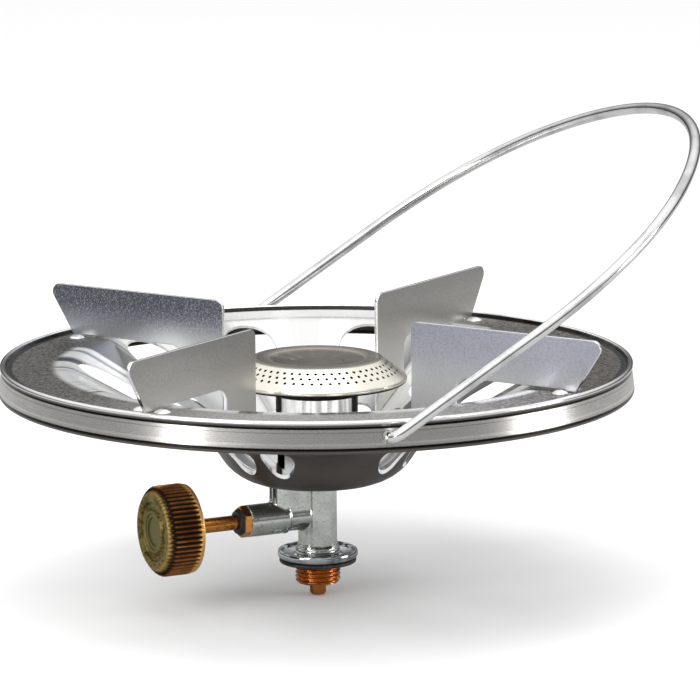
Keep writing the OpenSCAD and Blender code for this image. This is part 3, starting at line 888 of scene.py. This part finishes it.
@dataclass
class PotSupports:
    """The four upright plates, with their sheared edges rubbed round."""

    edge_radius: float = 0.3 * MM
    segments: int = 2
    steel: PlateSteel = field(default_factory=PlateSteel)

    def plate(self, index: int, material: bpy.types.Material) -> bpy.types.Object:
        """Builds one plate.

        Args:
            index: Number of the plate, from 1.
            material: Its finish.

        Returns:
            The plate.
        """
        node = f"pot_support_{index}"
        bm = merged_copy(node)
        turn = math.radians(45 + 90 * (index - 1))
        across = Vector((-math.sin(turn), math.cos(turn), 0.0))
        sides = [f for f in bm.faces if abs(f.normal.dot(across)) > 0.99]
        rim = list({e for f in sides for e in f.edges})
        bmesh.ops.bevel(
            bm, geom=rim, offset=self.edge_radius, offset_type="OFFSET", affect="EDGES",
            segments=self.segments, profile=0.5, material=-1, clamp_overlap=True,
        )
        mark_sharp(bm, 50.0)
        # The rounded edge faces are flagged for the material's painted highlight.
        painted_light_mask = bm.faces.layers.float.new("painted_light_mask")
        for face in bm.faces:
            face[painted_light_mask] = 0.0 if abs(face.normal.dot(across)) > 0.9 else 1.0
        name = f"support_plate_{index}"
        return place_piece(bm, name, material, Body.STOVE, Slot.PLATE, [node], flat_faces=True)

    def build(self) -> list[bpy.types.Object]:
        """Builds the four plates."""
        material = self.steel.make()
        return [self.plate(index, material) for index in range(1, 5)]


@dataclass
class Bail:
    """The wire carrying handle."""

    chrome: Chrome = Chrome("bail_chrome", gloss=0.12)

    def build(self) -> list[bpy.types.Object]:
        """Dresses the bail."""
        return [dress("bail", self.chrome.make())]


@dataclass
class Burner:
    """Burner head, neck, jet and fixing screw."""

    neck: Chrome = Chrome(
        "neck_chrome", dull=(0.80, 0.80, 0.79), gloss=0.16, inside=(0.02, 0.018, 0.016)
    )
    jet: TurnedBrass = TurnedBrass("jet_brass", light=(0.85, 0.56, 0.22))
    screw: PlainMetal = PlainMetal("screw_zinc", (0.72, 0.72, 0.70), (0.45, 0.45, 0.44))

    def build(self) -> list[bpy.types.Object]:
        """Dresses the burner's parts."""
        head = BurnerSteel(crown_height=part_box("burner_cap")[1].z / MM).make()
        return [
            dress("burner_cap", head),
            dress("burner_cup", head),
            dress("burner_neck", self.neck.make()),
            dress("jet", self.jet.make()),
            dress("fixing_screw", self.screw.make()),
        ]


@dataclass
class Branch:
    """The valve branch's line, which the spindle and the knob share.

    Attributes:
        start: The point on the column axis.
        axis: Unit vector outwards.
    """

    start: Vector
    axis: Vector

    def frame_at(self, distance: float) -> Matrix:
        """The matrix that puts +Z along the branch.

        Args:
            distance: Distance from the column axis in metres.

        Returns:
            A matrix with Z along the branch and -X upwards.
        """
        side = UP.cross(self.axis)
        turn = Matrix((-UP, side, self.axis)).transposed().to_4x4()
        return Matrix.Translation(self.start + self.axis * distance) @ turn


@dataclass
class Valve:
    """Cast valve body with its gland nut, dust ring and spindle."""

    branch: Branch
    voxel: float = 0.28 * MM
    column_radius: float = 6.9 * MM
    foot_radius: float = 7.9 * MM
    foot_height: float = 1.6 * MM
    branch_radius: float = 5.2 * MM
    branch_end_radius: float = 5.7 * MM
    branch_step: float = 13.0 * MM
    lug_radius: float = 4.6 * MM
    lug_distance: float = 13.9 * MM
    pad_width: float = 7.0 * MM
    pad_depth: float = 2.6 * MM
    pad_sink: float = 0.7 * MM
    pad_rise: float = 1.4 * MM
    casting: NickelCasting = field(default_factory=NickelCasting)
    nut: TurnedBrass = TurnedBrass("gland_brass", light=(0.84, 0.38, 0.11), tarnish=0.75)
    stem: TurnedBrass = TurnedBrass("spindle_brass", light=(0.82, 0.33, 0.08), tarnish=0.7)
    rubber: Rubber = field(default_factory=lambda: Rubber("dust_ring_rubber"))

    def rod(
        self, bm: bmesh.types.BMesh, radius: float, low: float, high: float, at: Matrix
    ) -> None:
        """Adds a closed rod.

        Args:
            bm: The mesh to add to.
            radius: Radius of the rod.
            low: Start along the rod's own axis.
            high: End along it.
            at: The matrix of that axis.
        """
        part = bmesh.ops.create_cone(
            bm, cap_ends=True, segments=64, radius1=radius, radius2=radius, depth=high - low
        )
        middle = Matrix.Translation((0.0, 0.0, (low + high) / 2))
        bmesh.ops.transform(bm, matrix=at @ middle, verts=part["verts"])

    def block(self, bm: bmesh.types.BMesh, size: Vector, middle: Vector, turn: float) -> None:
        """Adds a block of a given size, turned about Z.

        Args:
            bm: The mesh to add to.
            size: Its three sizes.
            middle: Its centre.
            turn: Its turn about Z in radians.
        """
        place = Matrix.Translation(middle) @ Matrix.Rotation(turn, 4, "Z")
        bmesh.ops.create_cube(bm, size=1.0, matrix=place @ Matrix.Diagonal((*size, 1.0)))

    def body(self) -> bpy.types.Object:
        """Builds the casting: rods and webs fused and softened like cast metal."""
        bm = bmesh.new()
        still = Matrix.Identity(4)
        outwards = self.branch.frame_at(0.0)
        axis = self.branch.axis
        heading = math.atan2(axis.y, axis.x)
        spindle_z = self.branch.start.z
        low, high = (corner.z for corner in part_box("valve_body"))
        length = extent("valve_body", axis)[1]
        middle_z, tall = (low + high) / 2, high - low
        self.rod(bm, self.column_radius, low, high, still)
        self.rod(bm, self.foot_radius, low, low + self.foot_height, still)
        flare = self.column_radius + 0.5 * MM
        self.rod(bm, flare, low, low + 1.9 * self.foot_height, still)
        self.rod(bm, self.branch_radius, 0.0, self.branch_step + 1 * MM, outwards)
        self.rod(bm, self.branch_end_radius, self.branch_step, length, outwards)
        lug = Matrix.Translation(axis * self.lug_distance)
        self.rod(bm, self.lug_radius, spindle_z, high, lug)
        slab = axis * (self.lug_distance / 2)
        slab.z = (spindle_z + high) / 2
        size = Vector((self.lug_distance, 2 * self.lug_radius, high - spindle_z))
        self.block(bm, size, slab, heading)
        seam = axis * (self.lug_distance + self.lug_radius - 0.1 * MM)
        seam.z = slab.z
        self.block(bm, Vector((0.9 * MM, 0.9 * MM, high - spindle_z)), seam, heading)
        for side in (-1, 1):
            out = side * (self.column_radius - self.pad_sink)
            flat = Vector((0.0, out, middle_z + self.pad_rise))
            pad = Vector((self.pad_width, self.pad_depth, tall - 3 * MM))
            self.block(bm, pad, flat, 0.0)
        seam = axis * -(self.column_radius - 0.1 * MM)
        seam.z = middle_z
        self.block(bm, Vector((1.1 * MM, 1.0 * MM, tall - 1 * MM)), seam, heading)
        notch_at = self.branch_step + 0.2 * MM
        self.rod(bm, self.branch_end_radius + 0.18 * MM, notch_at, notch_at + 0.9 * MM, outwards)
        rough = as_object(bm, "valve_casting_blocks")
        fuse = rough.modifiers.new("fuse", "REMESH")
        fuse.mode = "VOXEL"
        fuse.voxel_size = self.voxel
        soften = rough.modifiers.new("soften", "SMOOTH")
        soften.factor = 0.5
        soften.iterations = 7
        bpy.context.view_layer.update()
        done = rough.evaluated_get(bpy.context.evaluated_depsgraph_get()).to_mesh()
        cast = bmesh.new()
        cast.from_mesh(done)
        bpy.data.objects.remove(rough)
        for face in cast.faces:
            face.smooth = True
        return place_piece(
            cast, "valve_casting", self.casting.make(), Body.STOVE, Slot.NICKEL, ["valve_body"]
        )

    def build(self) -> list[bpy.types.Object]:
        """Builds and dresses the valve's parts."""
        nut = self.nut.make()
        return [
            self.body(),
            dress("gland_nut", nut),
            dress("dust_ring", self.rubber.make()),
            dress("packing_ring", Rubber("packing_rubber").make()),
            dress("spindle", self.stem.make()),
        ]


@dataclass
class Knob:
    """The ribbed control knob with its centre cap and screw."""

    branch: Branch
    start: float = field(init=False)
    length: float = field(init=False)
    tip_radius: float = 16.0 * MM
    flange_radius: float = 15.7 * MM
    flange: float = 1.4 * MM
    chamfer: float = 2.4 * MM
    groove: float = 0.95 * MM
    ribs: int = 54
    steps_per_rib: int = 8
    recess_radius: float = 10.4 * MM
    recess_depth: float = 1.3 * MM
    inner_ring_radius: float = 7.7 * MM
    cap_radius: float = 6.4 * MM
    cap_depth: float = 2.4 * MM
    hole_radius: float = 2.62 * MM

    def __post_init__(self) -> None:
        """Reads the knob's place along the branch from its CAD node."""
        self.start, end = extent("knob", self.branch.axis)
        self.length = end - self.start

    def outline(self) -> Outline:
        """The knob's section, from the back hole round the outside to the face."""
        end, tip = self.length, self.tip_radius
        inner = self.cap_radius + 0.1 * MM
        ribs_start, ribs_end = self.flange + 0.1 * MM, end - 0.9 * MM
        rows = 12
        outside = []
        for k in range(rows + 1):
            z = ribs_start + (ribs_end - ribs_start) * k / rows
            outside.append((min(tip, tip + end - self.chamfer - z), z))
        edge, rim = self.flange_radius, tip - self.chamfer
        recess, ring = self.recess_radius, self.inner_ring_radius
        floor, cap_seat = end - self.recess_depth, end - self.cap_depth
        back = [
            (self.hole_radius, 0.0), (edge - 0.5 * MM, 0.0), (edge - 0.1 * MM, 0.15 * MM),
            (edge, 0.5 * MM), (edge, self.flange - 0.1 * MM),
        ]
        front = [
            (rim - 0.05 * MM, end - 0.35 * MM), (rim - 0.3 * MM, end - 0.08 * MM),
            (rim - 0.8 * MM, end), (recess + 0.7 * MM, end),
            (recess + 0.15 * MM, end - 0.2 * MM), (recess, floor + 0.3 * MM),
            (recess - 0.4 * MM, floor), (ring + 0.5 * MM, floor),
            (ring + 0.1 * MM, floor + 0.3 * MM), (ring - 0.1 * MM, end - 0.3 * MM),
            (ring - 0.5 * MM, end), (inner + 0.2 * MM, end),
            (inner, end - 0.2 * MM), (inner, cap_seat), (self.hole_radius, cap_seat),
        ]
        return back + outside + front

    def cut_grooves(self, bm: bmesh.types.BMesh) -> None:
        """Sinks the grooves between the ribs.

        Args:
            bm: The spun knob, with +Z towards its face.
        """
        low, high = self.flange, self.length - 0.6 * MM
        least = self.tip_radius - self.chamfer - 0.3 * MM
        for vert in bm.verts:
            radius = math.hypot(vert.co.x, vert.co.y)
            if not (low < vert.co.z < high and radius > least):
                continue
            phase = math.atan2(vert.co.y, vert.co.x) / math.tau * self.ribs
            wave = 0.5 - 0.5 * math.cos(math.tau * phase)
            depth = self.groove * wave**0.8
            draw_in(vert, min(depth, max(0.0, radius - least - 0.02 * MM)))

    def handle(self, material: bpy.types.Material) -> bpy.types.Object:
        """Builds the knob.

        Args:
            material: Its finish.

        Returns:
            The knob.
        """
        bm = spun_shell(self.outline(), self.ribs * self.steps_per_rib)
        self.cut_grooves(bm)
        bmesh.ops.transform(bm, matrix=self.branch.frame_at(self.start), verts=bm.verts)
        mark_sharp(bm, 48.0)
        return place_piece(bm, "knob_grip", material, Body.KNOB, Slot.BRONZE, ["knob"])

    def build(self) -> list[bpy.types.Object]:
        """Builds and dresses the knob's parts."""
        finish = KnobBronze(
            start=self.branch.start + self.branch.axis * self.start,
            axis=self.branch.axis,
            length=self.length / MM,
            tip=self.tip_radius / MM,
            groove=self.groove / MM,
        ).make()
        screw = PlainMetal("knob_screw_steel", (0.7, 0.7, 0.68), (0.4, 0.4, 0.4))
        return [
            self.handle(finish),
            dress("knob_cap", finish),
            dress("knob_screw", screw.make()),
        ]


@dataclass
class Coupling:
    """What screws onto the cylinder: collar, gasket, threaded connector, pin and strainer."""

    pitch: float = 1.5 * MM
    crest: float = 8.0 * MM
    thread_depth: float = 0.8 * MM
    stem_radius: float = 5.4 * MM
    bore: float = 2.9 * MM
    collar: Chrome = Chrome("collar_chrome", colour=(0.74, 0.77, 0.79), dull=(0.16, 0.17, 0.18))
    brass: TurnedBrass = TurnedBrass("connector_brass", light=(0.72, 0.28, 0.07), tarnish=1.0)

    def __post_init__(self) -> None:
        """Reads the coupling's heights and radii from its CAD nodes."""
        gasket, collar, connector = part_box("gasket"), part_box("collar"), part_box("connector")
        self.gasket_radius, self.gasket_height = gasket[1].x, gasket[1].z
        self.collar_radius, self.collar_top = collar[1].x, collar[1].z
        self.collar_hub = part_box("valve_body")[0].z
        self.length, self.stem_top = -connector[0].z, connector[1].z

    def thread(self, material: bpy.types.Material) -> bpy.types.Object:
        """Builds the connector with a true screw thread.

        Args:
            material: Its finish.

        Returns:
            The connector.
        """
        rows = 72
        side: Outline = []
        for k in range(rows + 1):
            z = -self.length + (self.length - 0.1 * MM) * k / rows
            side.append((self.crest, z))
        relief = self.crest - 0.5 * MM
        outline = [(self.bore, -1 * MM), (self.bore, -self.length + 0.3 * MM),
                   (self.bore + 0.3 * MM, -self.length)] + side + [
            (relief, 0.5 * MM), (relief, self.gasket_height),
            (self.stem_radius, self.gasket_height),
            (self.stem_radius, self.stem_top), (2 * MM, self.stem_top), (2 * MM, -1 * MM),
        ]
        bm = spun_shell(outline, 96)
        for vert in bm.verts:
            radius = math.hypot(vert.co.x, vert.co.y)
            if vert.co.z > -0.05 * MM or radius < self.crest - 0.01 * MM:
                continue
            turn = math.atan2(vert.co.y, vert.co.x) / math.tau
            phase = (vert.co.z / self.pitch - turn) % 1.0
            wave = min(1.0, max(0.0, abs(2 * phase - 1) * 1.5 - 0.25))
            down = vert.co.z + self.length
            cut = self.thread_depth * (1 - wave)
            lead = max(0.0, 0.9 * MM - down)
            fade = min(1.0, -vert.co.z / (0.8 * MM))
            draw_in(vert, max(lead, cut * fade + (1 - fade) * 0.3 * MM))
        mark_sharp(bm, 60.0)
        return place_piece(
            bm, "threaded_connector", material, Body.STOVE, Slot.BRASS, ["connector"]
        )

    def seal(self) -> bpy.types.Object:
        """Builds the gasket."""
        inside = self.crest + 0.05 * MM
        outline = rounded(
            [(inside, 0.0), (self.gasket_radius, 0.0),
             (self.gasket_radius, self.gasket_height), (inside, self.gasket_height)],
            0.5 * MM,
        )
        bm = spun_shell(outline, 96)
        mark_sharp(bm, 40.0)
        rubber = Rubber("gasket_rubber").make()
        return place_piece(bm, "rubber_gasket", rubber, Body.STOVE, Slot.RUBBER, ["gasket"])

    def washer(self) -> bpy.types.Object:
        """Builds the dished collar."""
        low, hub, top = self.gasket_height, self.collar_hub, self.collar_top
        edge, inside = self.collar_radius, self.stem_radius + 0.05 * MM
        outline = rounded(
            [
                (inside, low), (edge - 1.5 * MM, low), (edge - 0.1 * MM, low + 0.7 * MM),
                (edge, top - 0.9 * MM), (edge - 0.35 * MM, top), (edge - 1.3 * MM, top),
                (edge - 2.1 * MM, top - 1.1 * MM), (8.6 * MM, hub - 0.35 * MM),
                (8.2 * MM, hub), (inside, hub),
            ],
            0.7 * MM,
            5,
        )
        bm = spun_shell(outline, 128)
        mark_sharp(bm, 40.0)
        return place_piece(
            bm, "dished_collar", self.collar.make(), Body.STOVE, Slot.COLLAR, ["collar"]
        )

    def build(self) -> list[bpy.types.Object]:
        """Builds and dresses the coupling's parts."""
        brass = self.brass.make()
        strainer = PlainMetal("strainer_bronze", (0.5, 0.33, 0.18), (0.2, 0.12, 0.06), 0.6, 2500.0)
        return [
            self.thread(brass),
            self.seal(),
            self.washer(),
            dress("push_pin", brass),
            dress("filter_disc", strainer.make()),
        ]


# Studio


def sightline(azimuth: float, elevation: float) -> Vector:
    """Unit vector from the stove towards an azimuth and elevation in degrees."""
    a, e = math.radians(azimuth), math.radians(elevation)
    return Vector((math.sin(a) * math.cos(e), -math.cos(a) * math.cos(e), math.sin(e)))


@dataclass
class Studio:
    """Floor, soft light and camera."""

    azimuth: float = -12.5
    elevation: float = 10.6
    distance: float = 1.5
    lens: float = 218.9
    roll: float = -0.27
    aim_right: float = 11.8 * MM
    aim_height: float = 76.2 * MM
    floor_drop: float = 0.4 * MM
    floor_size: float = 14.0

    def camera(self) -> None:
        """Makes the camera."""
        a = math.radians(self.azimuth)
        back = sightline(self.azimuth, self.elevation)
        right = Vector((math.cos(a), math.sin(a), 0.0))
        aim = right * self.aim_right + UP * self.aim_height
        data = bpy.data.cameras.new("camera")
        data.sensor_width = 36.0
        data.lens = self.lens
        data.clip_start, data.clip_end = 0.05, 60.0
        camera = linked("camera", data)
        turn = (-back).to_track_quat("-Z", "Y").to_matrix().to_4x4()
        roll = Matrix.Rotation(math.radians(self.roll), 4, "Z")
        camera.matrix_world = Matrix.Translation(aim + back * self.distance) @ turn @ roll
        bpy.context.scene.camera = camera

    def softbox(self, name: str, at: Sequence[float], size: Sequence[float], power: float) -> None:
        """Adds a soft rectangular light aimed at the stove.

        Args:
            name: Its name.
            at: Azimuth from the camera and elevation in degrees, and distance in metres.
            size: Width and height in metres.
            power: Power in watts.
        """
        back = sightline(self.azimuth + at[0], at[1])
        data = bpy.data.lights.new(name, "AREA")
        data.shape = "RECTANGLE"
        data.size, data.size_y = size
        data.energy = power
        light = linked(name, data)
        light.location = back * at[2] + UP * 0.06
        light.rotation_euler = (-back).to_track_quat("-Z", "Y").to_euler()

    def floor(self) -> None:
        """Makes the pale floor, which shows a painted mid grey in reflections."""
        s = Sketch("pale_floor")
        faint = s.noise(3.0, 2.0, 0.5)
        pale = s.blend(faint, (0.90, 0.90, 0.90), (0.93, 0.93, 0.93))
        # Painted reflection: seen in the metal, the floor is mid grey, not pale.
        mirrored = s.add("ShaderNodeLightPath").outputs["Is Glossy Ray"]
        s.drive("Base Color", s.blend(mirrored, pale, (0.42, 0.42, 0.42)))
        s.fixed(Roughness=0.9, Specular_IOR_Level=0.0)
        low = CAD_BOX[0].z - self.floor_drop
        bm = bmesh.new()
        bmesh.ops.create_grid(
            bm, x_segments=1, y_segments=1, size=self.floor_size / 2,
            matrix=Matrix.Translation((0.0, 0.0, low)),
        )
        floor = as_object(bm, "floor")
        floor.data.materials.append(s.material)

    def sky(self) -> None:
        """Makes the surroundings: white, with a dark low band and a bright top in reflections."""
        world = bpy.data.worlds.new("studio")
        bpy.context.scene.world = world
        world.use_nodes = True
        tree = world.node_tree
        background = tree.nodes["Background"]
        add, link = tree.nodes.new, tree.links.new
        place, split = add("ShaderNodeTexCoord"), add("ShaderNodeSeparateXYZ")
        link(place.outputs["Generated"], split.inputs[0])
        ramp = add("ShaderNodeValToRGB")
        link(split.outputs["Z"], ramp.inputs["Fac"])
        stops = ((0.0, 0.05), (0.10, 0.07), (0.22, 0.22), (0.40, 0.72), (0.60, 1.0), (1.0, 1.0))
        band = ramp.color_ramp
        while len(band.elements) < len(stops):
            band.elements.new(0.5)
        for element, (position, level) in zip(band.elements, stops):
            element.position = position
            element.color = (level, level, level, 1.0)
        path, mirror = add("ShaderNodeLightPath"), add("ShaderNodeMix")
        mirror.data_type = "RGBA"
        link(path.outputs["Is Glossy Ray"], mirror.inputs[0])
        mirror.inputs[6].default_value = (1.0, 1.0, 1.0, 1.0)
        link(ramp.outputs["Color"], mirror.inputs[7])
        link(mirror.outputs[2], background.inputs["Color"])
        background.inputs["Strength"].default_value = 1.0

    def build(self) -> None:
        """Builds the studio."""
        self.camera()
        self.floor()
        self.sky()
        self.softbox("key", (-42.0, 34.0, 1.6), (0.9, 1.1), 10.0)
        self.softbox("side", (84.0, 9.0, 1.5), (0.55, 0.5), 6.0)
        self.softbox("glint", (-46.0, 7.0, 1.5), (0.22, 0.4), 2.5)
        self.softbox("top", (20.0, 80.0, 1.4), (1.2, 1.2), 7.0)
        view = bpy.context.scene.view_settings
        view.view_transform = "Standard"
        view.look = "None"


def main() -> None:
    """Builds the studio and then the stove, sub-assembly by sub-assembly."""
    logging.basicConfig(level=logging.INFO, format="%(name)s: %(message)s")
    Studio().build()
    turning = next(j for j in frame["joints"] if j["name"] == "knob_turn")
    axis = Vector(turning["axis"]).normalized()
    spindle = Vector((0.0, 0.0, turning["pos_m"][2]))
    branch = Branch(spindle, axis)
    for assembly in (
        Dish(), PotSupports(), Bail(), Burner(), Valve(branch), Knob(branch), Coupling(),
    ):
        for piece in assembly.build():
            count = len(piece.data.polygons)
            LOG.info("%s: %s, %d faces", type(assembly).__name__, piece.name, count)


if __name__ == "__main__":
    main()
